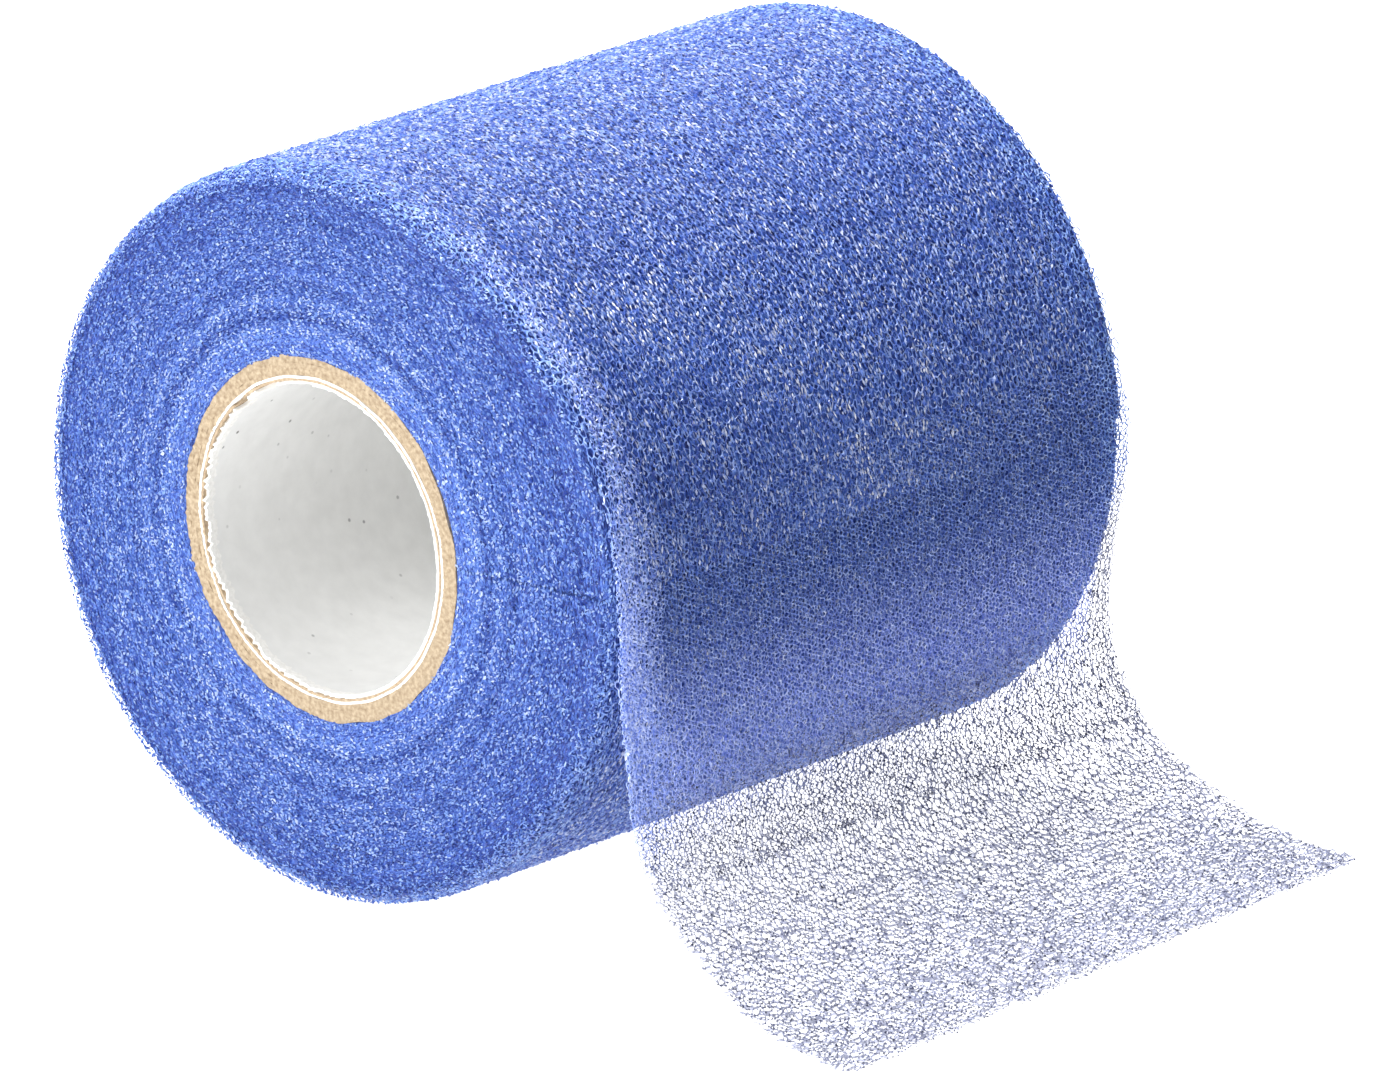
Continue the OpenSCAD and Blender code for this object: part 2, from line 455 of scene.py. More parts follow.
class Net:
    """Open-cell film, laid out flat: cells round jittered points, each a ring of struts about a hole."""

    def __init__(self, low, high, cell, stretch, heading, seed):
        """low and high are the corners of the field of cells. cell is their mean width, and they are stretch
        times longer in the direction heading, turned from along the film towards its far edge."""
        random = np.random.default_rng(seed)
        low, high = np.array(low), np.array(high)
        pitch = np.array([cell * stretch, cell * math.sqrt(0.75)])  # of a grid of hexagons
        columns, rows = (np.linalg.norm(high - low) / pitch).astype(int) + 6
        row, column = np.mgrid[0:rows, 0:columns]
        grid = np.stack([(column + 0.5 * (row % 2) - columns / 2).ravel(), (row - rows / 2).ravel()], axis=1)
        grid = (grid + random.normal(0, JITTER, grid.shape)) * pitch
        turn = np.array([[math.cos(heading), math.sin(heading)], [-math.sin(heading), math.cos(heading)]])
        seeds = grid @ turn + (low + high) / 2
        margin = 3 * cell * stretch
        seeds = seeds[((seeds > low - margin) & (seeds < high + margin)).all(axis=1)]
        triangles = np.array(delaunay_2d_cdt(seeds.tolist(), [], [], 0, 1e-9)[2])
        self.seeds, self.nodes = seeds, seeds[triangles].mean(axis=1)
        self.inside = ((seeds > low) & (seeds < high)).all(axis=1)
        self.cell_wide = random.uniform(0.7, 1.3, len(seeds))
        self.node_wide = random.uniform(0.5, 1.5, len(triangles))
        self.node_high = random.normal(0, 1, len(triangles))
        self.veil_draw = random.uniform(0, 1, len(seeds))

        # Each cell's nodes in order round its seed
        cell_of, node_of = triangles.ravel(), np.repeat(np.arange(len(triangles)), 3)
        arm = self.nodes[node_of] - seeds[cell_of]
        order = np.lexsort((np.arctan2(arm[:, 1], arm[:, 0]), cell_of))
        self.cell_of, self.node_of = cell_of[order], node_of[order]

    def corners(self, low, high):
        """The corners of the cells whose middles are between low and high: the cell and the node of each, and
        which corner follows it round its cell."""
        kept = (self.inside & (self.seeds >= low).all(axis=1) & (self.seeds < high).all(axis=1))[self.cell_of]
        cell_of, node_of = self.cell_of[kept], self.node_of[kept]
        last = np.append(cell_of[1:] != cell_of[:-1], True)
        first = np.append(0, np.nonzero(last)[0][:-1] + 1)
        following = np.arange(len(cell_of)) + 1
        following[last] = first
        return cell_of, node_of, following

    def build(self, low, high, strut, veil):
        """Points (along, across, off), square faces of the struts, three-cornered faces of the veils and the
        middles of the nodes, for the cells between low and high. strut(along, across) is the struts' width
        and veil(along, across) the share of cells that a thin skin closes."""
        cell_of, node_of, following = self.corners(low, high)
        used, node_of = np.unique(node_of, return_inverse=True)
        nodes, wide = self.nodes[used], self.node_wide[used]
        raised = self.node_high[used] * node_ripple(nodes[:, 0])
        half = strut_depth(nodes[:, 0]) / 2 * (0.5 + 0.5 * wide)
        middle = 0.5 * (raised[node_of] + raised[node_of][following])

        # Foam fills a share of the way from each node to the middle of its cell
        arm = self.seeds[cell_of] - nodes[node_of]
        width = strut(*nodes.T)[node_of] * wide[node_of] * self.cell_wide[cell_of]
        share = np.clip(width * NODE_FILL / np.linalg.norm(arm, axis=1), LEAST_FILL, MOST_FILL)[:, None]
        hole, buried = (nodes[node_of] + arm * share * part for part in (1, VEIL_REACH))

        count, around = len(nodes), len(node_of)
        top, bottom, rim = node_of, node_of + count, np.arange(around) + 2 * count
        upper = np.stack([top, top[following], rim[following], rim], axis=1)
        lower = np.stack([bottom[following], bottom, rim, rim[following]], axis=1)
        struts = np.concatenate([upper, lower, self.outline(top, bottom, following)])
        edge = np.column_stack([buried, middle])
        veil_points, veils = self.veils(cell_of, following, edge, veil, 2 * count + around)
        points = [
            np.column_stack([nodes, raised + half]),
            np.column_stack([nodes, raised - half]),
            np.column_stack([hole, middle]),
            veil_points,
        ]
        return np.concatenate(points), struts, veils, np.column_stack([nodes, raised])

    def veils(self, cell_of, following, edge, veil, start):
        """Points and faces of the skins that close some cells. Each is a flat lens with its edge buried in
        the struts. edge has a place for each corner, and start is the number of the first point."""
        cells, cell_at = np.unique(cell_of, return_inverse=True)
        closed = self.veil_draw[cells] < veil(*self.seeds[cells].T)
        middles, level = self.seeds[cells[closed]], np.bincount(cell_at, edge[:, 2]) / np.bincount(cell_at)
        points = np.concatenate([
            edge,
            np.column_stack([middles, level[closed] + VEIL_T / 2]),
            np.column_stack([middles, level[closed] - VEIL_T / 2]),
        ])
        front = start + len(edge) + np.cumsum(closed) - 1
        back = front + closed.sum()
        ring = np.nonzero(closed[cell_at])[0]
        here, there = start + ring, start + following[ring]
        faces = np.concatenate([
            np.stack([here, there, front[cell_at[ring]]], axis=1),
            np.stack([there, here, back[cell_at[ring]]], axis=1),
        ])
        return points, faces

    def outline(self, top, bottom, following):
        """The flat outer sides of struts that have a cell on one side only."""
        ends = np.stack([top, top[following]], axis=1)
        _, index, uses = np.unique(np.sort(ends, axis=1), axis=0, return_inverse=True, return_counts=True)
        alone = uses[index.ravel()] == 1
        here, there = alone, following[alone]
        return np.stack([top[there], top[here], bottom[here], bottom[there]], axis=1)


def scatter(low, high, pitch, random):
    """Evenly spread places from low to high, each a little off its grid."""
    u, v = np.meshgrid(np.arange(low[0], high[0], pitch[0]), np.arange(low[1], high[1], pitch[1]))
    return np.stack([u.ravel(), v.ravel()], axis=1) + random.uniform(-0.5, 0.5, (u.size, 2)) * pitch


def flecks(middle, turn, size, random):
    """Short struts of foam, each a three-sided spindle, as points (along, across, off) and faces. middle are
    their middles, turn the direction of each in the film's plane and size (length, width, height)."""
    count = len(middle)
    forward = np.stack([np.cos(turn), np.sin(turn), random.normal(0, FLECK_SLANT, count)], axis=1)
    sideways = np.stack([-np.sin(turn), np.cos(turn), random.normal(0, FLECK_TILT, count)], axis=1)
    length, width, height = (random.lognormal(0, FLECK_SPREAD, (count, 1)) * side / 2 for side in size)
    waist = [(0, 1), (0.87, -0.5), (-0.87, -0.5)]
    corners = [middle + forward * length, middle - forward * length]
    corners += [middle + sideways * width * side + [0, 0, 1] * height * up for side, up in waist]
    facets = [(0, 2, 4), (0, 4, 3), (0, 3, 2), (1, 4, 2), (1, 3, 4), (1, 2, 3)]
    faces = np.array(facets) + len(corners) * np.arange(count)[:, None, None]
    return np.stack(corners, axis=1).reshape(-1, 3), faces.reshape(-1, 3)


def scatter_off(spots, off, random):
    """Places at about a height off."""
    return np.column_stack([spots, off + random.normal(0, OFF_SPREAD, len(spots))])


def edge_flecks(low, high):
    """The matted struts of the strip by the near edge, where it crosses the field from low to high."""
    random = np.random.default_rng(7)
    spots = scatter(low, high, EDGE_PITCH, random)
    spots = spots[random.uniform(0, 1, len(spots)) < edge_share(*spots.T)]
    turn = random.normal(0, 0.8, len(spots))
    return flecks(scatter_off(spots, FRONT_OFF, random), turn, EDGE_FLECK, random)


def knots(nodes):
    """The thick dark knots where struts meet, at most of the nodes of the film that hangs free."""
    random = np.random.default_rng(8)
    along, across = nodes[:, 0], nodes[:, 1]
    free = along + FAR_LEAD * ease(across, *FAR_EDGE)
    share = 0.58 * ease(free, *FIRST_KNOTS) + 0.32 * ease(free, *MORE_KNOTS)
    share *= np.abs(across) < HALF_W - EDGE_MARGIN
    middle = nodes[random.uniform(0, 1, len(nodes)) < share]
    return flecks(middle, random.uniform(0, 2 * math.pi, len(middle)), KNOT, random)


def film_piece(name, layers, low, high):
    """The film from the corner low to the corner high. A layer of cells is (net, strut, veil, off), where off
    is its middle's place off the film's outer face."""
    points, parts = [], [[], [], [], []]

    def add(place, *faces):
        """Adds points, and faces as (part, corners)."""
        count = sum(map(len, points))
        points.append(place)
        for part, corners in faces:
            parts[part].append(corners + count)

    for net, strut, veil, off in layers:
        flat, struts, veils, nodes = net.build(low, high, strut, veil)
        add(flat + [0, 0, off], (0, struts), (1, veils))
        knot_points, knot_faces = knots(nodes + [0, 0, off])
        add(knot_points, (2, knot_faces))
    matted_points, matted_faces = edge_flecks(low, high)
    add(matted_points, (3, matted_faces))
    flat = np.concatenate(points)
    faces = [np.concatenate(part) for part in parts]
    materials = [film_blue, veil_blue, knot_grey, edge_blue]
    return mesh_piece(name, film_place(*flat.T), faces, materials, flat[:, :2])


def closed_grid_faces(rings, columns):
    """Square faces between rings of points, each ring joined to the next and the last one to the first."""
    ring, column = np.mgrid[0:rings, 0:columns]
    this, following = ring * columns, (ring + 1) % rings * columns
    right = (column + 1) % columns
    corners = [this + column, this + right, following + right, following + column]
    return np.stack(corners, axis=-1).reshape(-1, 4)


# ---------------------------------------------------------------- materials


def new_material(name, roughness, sheen=0.0):
    material = bpy.data.materials.new(name)
    material.use_nodes = True
    tree = material.node_tree
    shader = tree.nodes["Principled BSDF"]
    shader.inputs["Roughness"].default_value = roughness
    shader.inputs["Sheen Weight"].default_value = sheen
    shader.inputs["Sheen Roughness"].default_value = 0.5
    return material, tree, shader


def link_value(tree, socket, value):
    """A value is a number or another node's output."""
    if isinstance(value, (int, float)):
        socket.default_value = value
    else:
        tree.links.new(value, socket)


def math_node(tree, operation, *values):
    node = tree.nodes.new("ShaderNodeMath")
    node.operation = operation
    for socket, value in zip(node.inputs, values):
        link_value(tree, socket, value)
    return node.outputs["Value"]


def ease_node(tree, value, low, high):
    """0 up to low and 1 from high on, with a smooth step between. low may be the higher one."""
    node = tree.nodes.new("ShaderNodeMapRange")
    node.interpolation_type = "SMOOTHSTEP"
    link_value(tree, node.inputs["Value"], value)
    if low < high:
        node.inputs["From Min"].default_value, node.inputs["From Max"].default_value = low, high
        return node.outputs["Result"]
    node.inputs["From Min"].default_value, node.inputs["From Max"].default_value = high, low
    node.inputs["To Min"].default_value, node.inputs["To Max"].default_value = 1, 0
    return node.outputs["Result"]


def mix_node(tree, share, first, second):
    """A mix of two colours, each an output of another node."""
    node = tree.nodes.new("ShaderNodeMix")
    node.data_type = "RGBA"
    link_value(tree, node.inputs["Factor"], share)
    tree.links.new(first, node.inputs[6])
    tree.links.new(second, node.inputs[7])
    return node.outputs[2]


def place_node(tree, strip=False):
    """The object's own coordinates, or places on the film's strip."""
    if not strip:
        return tree.nodes.new("ShaderNodeTexCoord").outputs["Object"]
    node = tree.nodes.new("ShaderNodeUVMap")
    node.uv_map = STRIP_UV
    return node.outputs["UV"]


def noise_node(tree, scale, detail=2.0, stretch=(1, 1, 1), strip=False):
    mapping = tree.nodes.new("ShaderNodeMapping")
    mapping.inputs["Scale"].default_value = stretch
    texture = tree.nodes.new("ShaderNodeTexNoise")
    texture.inputs["Scale"].default_value = scale
    texture.inputs["Detail"].default_value = detail
    tree.links.new(place_node(tree, strip), mapping.inputs["Vector"])
    tree.links.new(mapping.outputs["Vector"], texture.inputs["Vector"])
    return texture.outputs["Fac"]


def radius_node(tree):
    """The distance from the roll's axis."""
    parts = tree.nodes.new("ShaderNodeSeparateXYZ")
    tree.links.new(place_node(tree), parts.inputs[0])
    squares = [math_node(tree, "MULTIPLY", parts.outputs[axis], parts.outputs[axis]) for axis in ("X", "Z")]
    return math_node(tree, "SQRT", math_node(tree, "ADD", *squares))


def band_node(tree):
    """Noise that depends only on the distance from the roll's axis, as its turns do. It is higher by the core
    and lower on the ends' outer turns."""
    radius = radius_node(tree)
    texture = tree.nodes.new("ShaderNodeTexNoise")
    texture.noise_dimensions = "1D"
    texture.inputs["Scale"].default_value = BAND_SCALE
    tree.links.new(radius, texture.inputs["W"])
    by_core = math_node(tree, "MULTIPLY", ease_node(tree, radius, *CORE_TURNS), 0.2)
    by_rim = math_node(tree, "MULTIPLY", ease_node(tree, radius, *OUTER_TURNS), shoulder_node(tree))
    by_rim = math_node(tree, "MULTIPLY", by_rim, 0.25)
    return math_node(tree, "ADD", texture.outputs["Fac"], math_node(tree, "SUBTRACT", by_core, by_rim))


def ramp_node(tree, value, stops):
    """Colours along a value: stops are (place, linear colour)."""
    ramp = tree.nodes.new("ShaderNodeValToRGB")
    elements = ramp.color_ramp.elements
    while len(elements) < len(stops):
        elements.new(0.5)
    for element, (place, colour) in zip(elements, stops):
        element.position = place
        element.color = (*colour, 1)
    link_value(tree, ramp.inputs["Fac"], value)
    return ramp.outputs["Color"]


def bump_node(tree, shader, height, distance):
    node = tree.nodes.new("ShaderNodeBump")
    node.inputs["Distance"].default_value = distance
    tree.links.new(height, node.inputs["Height"])
    tree.links.new(node.outputs["Normal"], shader.inputs["Normal"])


def strut_relief(tree, shader):
    """The fine unevenness of every strut."""
    bump_node(tree, shader, noise_node(tree, STRUT_GRAIN), 0.03 * MM)


def tone_of_own(tree):
    """A random number for each strut or fleck."""
    return tree.nodes.new("ShaderNodeNewGeometry").outputs["Random Per Island"]


# Scales of the noises, in waves per metre
FILM_GRAIN, LOOSE_GRAIN, STRUT_GRAIN, PACK_GRAIN = 1900, 4500, 5000, 2600
VEIL_SCALE, PATCH_SCALE, BAND_SCALE, LINER_SCALE, SPECK_SCALE = 1200, 260, 700, 600, 480

# Distances from the roll's axis, and SHOULDER from the middle of its length, where the tones change
CORE_TURNS, OUTER_TURNS, SHOULDER = (25 * MM, CORE_R), (26 * MM, 31 * MM), (30 * MM, 33 * MM)
# Places along the film where painted light turns it paler as it lifts off the roll, and painted shade turns it grey
# once it is past it
TURNS_PALE, TURNS_GREY = (2 * MM, 17 * MM), (17 * MM, 25 * MM)
# Places across the film, and along it, where the matted strip's colour fades in or out
MATTED_ACROSS = (-28 * MM, -33 * MM)
MATTED_STARTS, MATTED_ENDS = (-60 * MM, -6 * MM), (30 * MM, 14 * MM)

# Linear colours along a value between 0 and 1: (place, colour)
# The two palest side tones are near white: painted glints on a few struts and flecks.
SIDE_TONES_AND_GLINTS = [
    (0.2, (0.009, 0.035, 0.27)),
    (0.42, (0.045, 0.12, 0.5)),
    (0.6, (0.17, 0.28, 0.64)),
    (0.78, (0.54, 0.58, 0.72)),
    (0.84, (0.86, 0.88, 0.9)),
]
END_TONES = [
    (0.2, (0.012, 0.045, 0.32)),
    (0.42, (0.08, 0.18, 0.58)),
    (0.62, (0.22, 0.37, 0.76)),
    (0.82, (0.6, 0.7, 0.92)),
]
SIDE_DEPTH_TONES = [(0.38, (0.004, 0.018, 0.14)), (0.5, (0.016, 0.055, 0.3)), (0.62, (0.06, 0.15, 0.52))]
END_DEPTH_TONES = [(0.38, (0.004, 0.02, 0.18)), (0.5, (0.03, 0.085, 0.4)), (0.62, (0.11, 0.22, 0.66))]
# Painted light: the film is paler, as if lit through, where it lifts off the roll.
LIFTED_LIT_TONES = [(0.3, (0.16, 0.24, 0.78)), (0.5, (0.34, 0.44, 0.93)), (0.7, (0.62, 0.7, 0.97))]
# Painted shade: grey struts, as seen against the glowing table once the film is past the roll.
LOOSE_SHADED_TONES = [(0.3, (0.28, 0.3, 0.42)), (0.5, (0.45, 0.47, 0.6)), (0.7, (0.66, 0.68, 0.8))]
KNOT_TONES = [(0.1, (0.02, 0.024, 0.06)), (0.6, (0.08, 0.09, 0.18)), (0.9, (0.26, 0.28, 0.42))]
EDGE_TONES = [(0.2, (0.17, 0.27, 0.8)), (0.5, (0.36, 0.48, 0.95)), (0.8, (0.64, 0.72, 0.97))]
VEIL_TONES = [(0.3, (0.76, 0.79, 0.95)), (0.7, (0.86, 0.88, 0.98))]


def strip_parts(tree):
    """Places along and across the film."""
    parts = tree.nodes.new("ShaderNodeSeparateXYZ")
    tree.links.new(place_node(tree, strip=True), parts.inputs[0])
    return parts.outputs["X"], parts.outputs["Y"]


def matted_node(tree):
    """The strip by the near edge that edge_share makes matted. Its colour fades in and out more slowly."""
    along, across = strip_parts(tree)
    inset = ease_node(tree, across, *MATTED_ACROSS)
    on_side = ease_node(tree, across, -ON_RIM[1], -ON_RIM[0])
    off_rim = math_node(tree, "ADD", on_side, ease_node(tree, along, *LIFTS_OFF))
    starts, ends = ease_node(tree, along, *MATTED_STARTS), ease_node(tree, along, *MATTED_ENDS)
    strip = math_node(tree, "MULTIPLY", inset, math_node(tree, "MINIMUM", off_rim, 1))
    return math_node(tree, "MULTIPLY", strip, math_node(tree, "MULTIPLY", starts, ends))


def shoulder_node(tree, strip=False):
    """1 at the roll's two rims, which show the edges of its turns as its ends do."""
    parts = tree.nodes.new("ShaderNodeSeparateXYZ")
    tree.links.new(place_node(tree, strip), parts.inputs[0])
    return ease_node(tree, math_node(tree, "ABSOLUTE", parts.outputs["Y"]), *SHOULDER)


def film_material():
    """Foam film: blue where it is wound, with a few near-white spots of painted glint on its side; paler where it
    lifts off the roll, which is painted light, and paler at its curled near edge; and grey once it is past the roll,
    which is painted shade of struts seen against the glowing table."""
    material, tree, shader = new_material("foam_film_blue", 0.3, 0.35)
    grain = noise_node(tree, FILM_GRAIN)
    side, end, lifted, edge = (
        ramp_node(tree, grain, tones) for tones in (SIDE_TONES_AND_GLINTS, END_TONES, LIFTED_LIT_TONES, EDGE_TONES)
    )
    wound = mix_node(tree, shoulder_node(tree, strip=True), side, end)
    loose = ramp_node(tree, noise_node(tree, LOOSE_GRAIN), LOOSE_SHADED_TONES)
    along, across = strip_parts(tree)
    # Painted light: paler where the film lifts off the roll.
    colour = mix_node(tree, ease_node(tree, along, *TURNS_PALE), wound, lifted)
    by_far_edge = math_node(tree, "MULTIPLY", ease_node(tree, across, *FAR_EDGE), FAR_LEAD)
    free = math_node(tree, "ADD", along, by_far_edge)
    # Painted shade: grey once the film is past the roll, and sooner towards its far edge.
    colour = mix_node(tree, ease_node(tree, free, *TURNS_GREY), colour, loose)
    tree.links.new(mix_node(tree, matted_node(tree), colour, edge), shader.inputs["Base Color"])
    strut_relief(tree, shader)
    return material


def fleck_material():
    """Cut and broken struts, each in a tone of its own, in faint bands round the axis and faint patches. On the side
    the palest few are near white, a painted glint.
    """
    material, tree, shader = new_material("foam_fleck_blue", 0.3, 0.35)
    mixed = math_node(tree, "MULTIPLY", tone_of_own(tree), 0.55)
    for share, value in ((0.27, band_node(tree)), (0.18, noise_node(tree, PATCH_SCALE))):
        mixed = math_node(tree, "ADD", mixed, math_node(tree, "MULTIPLY", value, share))
    side, end = (ramp_node(tree, mixed, tones) for tones in (SIDE_TONES_AND_GLINTS, END_TONES))
    tree.links.new(mix_node(tree, shoulder_node(tree), side, end), shader.inputs["Base Color"])
    strut_relief(tree, shader)
    return material


def strut_material(name, sheen, tones):
    """Struts of the film, each in a tone of its own."""
    material, tree, shader = new_material(name, 0.3, sheen)
    tree.links.new(ramp_node(tree, tone_of_own(tree), tones), shader.inputs["Base Color"])
    strut_relief(tree, shader)
    return material


def pack_material():
    """The shaded depth of the pressed turns, with a grain that is drawn out along the film."""
    material, tree, shader = new_material("foam_pack_blue", 0.5)
    grain = noise_node(tree, PACK_GRAIN, stretch=(0.45, 1, 1), strip=True)
    mixed = math_node(tree, "MULTIPLY", grain, 0.8)
    mixed = math_node(tree, "ADD", mixed, math_node(tree, "MULTIPLY", band_node(tree), 0.2))
    side, end = (ramp_node(tree, mixed, tones) for tones in (SIDE_DEPTH_TONES, END_DEPTH_TONES))
    tree.links.new(mix_node(tree, shoulder_node(tree), side, end), shader.inputs["Base Color"])
    bump_node(tree, shader, grain, 0.25 * MM)
    return material


def veil_material():
    """The thin skin that closes a few cells."""
    material, tree, shader = new_material("foam_veil_pale", 0.2)
    skin = ramp_node(tree, noise_node(tree, VEIL_SCALE), VEIL_TONES)
    tree.links.new(skin, shader.inputs["Base Color"])
    return material


def paper_material(name, dark, light, scale, relief, stretch=(1, 1, 1)):
    """Paper with fibres between a dark and a light tone."""
    material, tree, shader = new_material(name, 0.8)
    fibres = noise_node(tree, scale, 6.0, stretch)
    tree.links.new(ramp_node(tree, fibres, [(0.3, dark), (0.7, light)]), shader.inputs["Base Color"])
    bump_node(tree, shader, fibres, relief)
    return material


def liner_material():
    """Smooth white paper with a scatter of tiny dark specks."""
    material, tree, shader = new_material("liner_paper_white", 0.55)
    fibres = noise_node(tree, LINER_SCALE, 5.0)
    paper = ramp_node(tree, fibres, [(0.3, (0.77, 0.77, 0.76)), (0.7, (0.83, 0.83, 0.82))])
    specks = tree.nodes.new("ShaderNodeTexVoronoi")
    specks.inputs["Scale"].default_value = SPECK_SCALE
    tree.links.new(place_node(tree), specks.inputs["Vector"])
    away = specks.outputs["Distance"]
    ink = ramp_node(tree, away, [(0.0, (0.12, 0.12, 0.12)), (0.3, (0.3, 0.3, 0.3))])
    tone = tree.nodes.new("ShaderNodeSeparateColor")
    tree.links.new(specks.outputs["Color"], tone.inputs["Color"])
    strength = math_node(tree, "MULTIPLY", ease_node(tree, away, 0.11, 0.05), tone.outputs["Red"])
    tree.links.new(mix_node(tree, strength, paper, ink), shader.inputs["Base Color"])
    bump_node(tree, shader, fibres, 0.01 * MM)
    return material


film_blue = film_material()
fleck_blue = fleck_material()
edge_blue = strut_material("foam_edge_blue", 0.35, EDGE_TONES)
knot_grey = strut_material("foam_knot_grey", 0, KNOT_TONES)
pack_blue = pack_material()
veil_blue = veil_material()
liner_white = liner_material()
torn_white = paper_material("torn_paper_white", (0.8, 0.79, 0.76), (0.93, 0.92, 0.9), 3000, 0.05 * MM)
kraft_brown = paper_material("kraft_paper_brown", (0.26, 0.185, 0.11), (0.5, 0.4, 0.275), 2600, 0.06 * MM)
backing_brown = paper_material("backing_paper_brown", (0.3, 0.21, 0.13), (0.52, 0.41, 0.28), 2600, 0.05 * MM)
tape_cream = paper_material(
    "start_tape_cream", (0.7, 0.64, 0.42), (0.76, 0.7, 0.5), 700, 0.01 * MM, stretch=(1, 4, 1)
)

# ---------------------------------------------------------------- the core


def wander(angle, waves, seed):
    """A smooth random curve round a circle, between about -1 and 1, from some numbers of waves."""
    random = np.random.default_rng(seed)
    total = sum(np.sin(wave * angle + random.uniform(0, 6.3)) for wave in waves)
    return total / math.sqrt(len(waves))


def torn_back(angle, torn, seed):
    """How far a paper's end is torn back round it: roughly, and most on the side away from the loose end."""
    rough = wander(angle, (9, 17, 31, 58, 97, 143), seed)
    return torn * (0.6 - 0.4 * np.cos(angle)) * (0.5 + 0.5 * rough.clip(-1, 1))


def bite(angle, radius, at, width, depth):
    """How deep a bite torn out of a paper's end is round it. at is the bite's direction, in degrees."""
    away = np.angle(np.exp(1j * (angle - math.radians(at)))) * radius
    return depth * (1 - (away / (width / 2)) ** 2).clip(0, 1) ** 0.4


def paper_tube(name, radii, materials, torn, drift, bites, seed):
    """One paper of the core, between two radii. torn is how far its ends are torn back, drift how far the
    inner and outer edges of its near end stray, and bites are torn out of that end: (at, width, depth)."""
    columns, rows = 720, 12
    angle = np.arange(columns) / columns * 2 * math.pi
    back = [torn_back(angle, torn, seed + end) for end in range(2)]
    for at, width, depth in bites:
        back[0] = np.maximum(back[0], bite(angle, radii[0], at, width, depth))
    # Half of the rings are close to the near end, where the torn edge is seen
    share = np.concatenate([np.linspace(0, 0.06, rows // 2), np.linspace(0.07, 1, rows // 2)])
    stray = wander(angle, (2, 3, 5, 11, 23), seed + 2)

    rings = []
    for radius, order, strays in zip(radii, (share, share[::-1]), drift):
        for part in order:
            y = -HALF_W + back[0] + (FILM_W - back[0] - back[1]) * part
            r = radius + strays * stray * (1 - ease(part, 0, 0.04))
            rings.append(np.stack([r * np.cos(angle), y, r * np.sin(angle)], axis=1))
    faces = closed_grid_faces(len(rings), columns)
    ends = np.isin(faces[:, 0] // columns, (0, rows - 1, 2 * rows - 1))
    return mesh_piece(name, np.concatenate(rings), [faces[~ends], faces[ends]], materials)


# Bites torn out of the near ends of papers: (direction in degrees, width, depth)
BITES = {
    "core_liner": [(133, 1.9 * MM, 1.3 * MM), (117, 3.0 * MM, 0.9 * MM), (96, 1.2 * MM, 0.5 * MM)],
    "core_backing_ply": [(133, 1.6 * MM, 0.5 * MM)],
}
# From the bore out: (piece, node, slot, material of its faces and of its torn ends, torn and drift in mm)
CORE_PAPERS = [
    ("liner_paper", "core_liner", "liner_paper", liner_white, torn_white, 0.55, (0.02, 0.02)),
    ("backing_paper", "core_backing_ply", "kraft_paper", backing_brown, backing_brown, 0.12, (0, 0)),
    ("white_paper", "core_white_ply", "white_paper", torn_white, torn_white, 0.08, (0.06, 0.06)),
    ("kraft_inner", "core_kraft_inner", "kraft_paper", kraft_brown, kraft_brown, 0.12, (0, 0)),
    ("kraft_middle", "core_kraft_middle", "kraft_paper", kraft_brown, kraft_brown, 0.1, (0, 0)),
    ("kraft_outer", "core_kraft_outer", "kraft_paper", kraft_brown, kraft_brown, 0.16, (0, 0.16)),
]
inner_r = BORE_R
for place, (name, node, slot, faces, edge, torn, drift) in enumerate(CORE_PAPERS):
    radii = (inner_r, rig.box(node)[1].x)
    drift = np.array(drift) * MM
    paper = paper_tube(name, radii, [faces, edge], torn * MM, drift, BITES.get(node, []), 10 * place)
    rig.replaces(paper, node)
    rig.ride(paper, "roll")
    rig.slot(paper, slot)
    inner_r = radii[1]
frame["nodes"]["start_tape"].material_slots[0].material = tape_cream

# ---------------------------------------------------------------- the wound film


END_WAVE = 0.12 * MM  # how deep the turns' uneven edges are, on average
RING_STEP = 0.8 * MM  # the step across the strip's UV map from each of its rings to the next


def pack_piece():
    """All the turns under the last one: two ends, a rounded rim at each, and the side between them."""
    columns, end_rings, rim_rings, side_rings = 540, 40, 12, 40
    along = -np.arange(columns) / columns * TURN_LEN
    angle = LEAVE_ANGLE - along / TURN_LEN * 2 * math.pi
    rounded = 1 - np.cos(np.linspace(0, math.pi / 2, rim_rings))
    near, far = (HALF_W - width * rounded for width, _ in (NEAR_RIM, FAR_RIM))
    side = np.linspace(near[-1], -far[-1], side_rings)[1:-1]
    across = np.concatenate([-near, -side, far[::-1]])
    rims = [pack_place(along, np.full(columns, y), -rim_drop(y)) for y in across]

    def end(rim, seed):
        """Rings from the core out to a rim, on a face that the turns' uneven edges leave a little wavy."""
        for share in np.linspace(0, 1, end_rings)[:-1]:
            radius = CORE_R + (np.hypot(rim[:, 0], rim[:, 2]) - CORE_R) * share
            sunk = END_WAVE * (1 + wander(share * 6, (1, 2, 3, 5), seed)) * (1 - share**6)
            y = rim[:, 1] - np.sign(rim[:, 1]) * sunk
            yield np.stack([radius * np.cos(angle), y, radius * np.sin(angle)], axis=1)

    rings = [*end(rims[0], 5), *rims, *reversed(list(end(rims[-1], 6)))]
    strip = [np.stack([along, np.full(columns, y)], axis=1) for y in np.cumsum([RING_STEP] * len(rings))]
    faces = closed_grid_faces(len(rings), columns)
    points, strip = np.concatenate(rings), np.concatenate(strip)
    return mesh_piece("wound_turns", points, [faces[:, ::-1]], [pack_blue], strip, smooth=True)


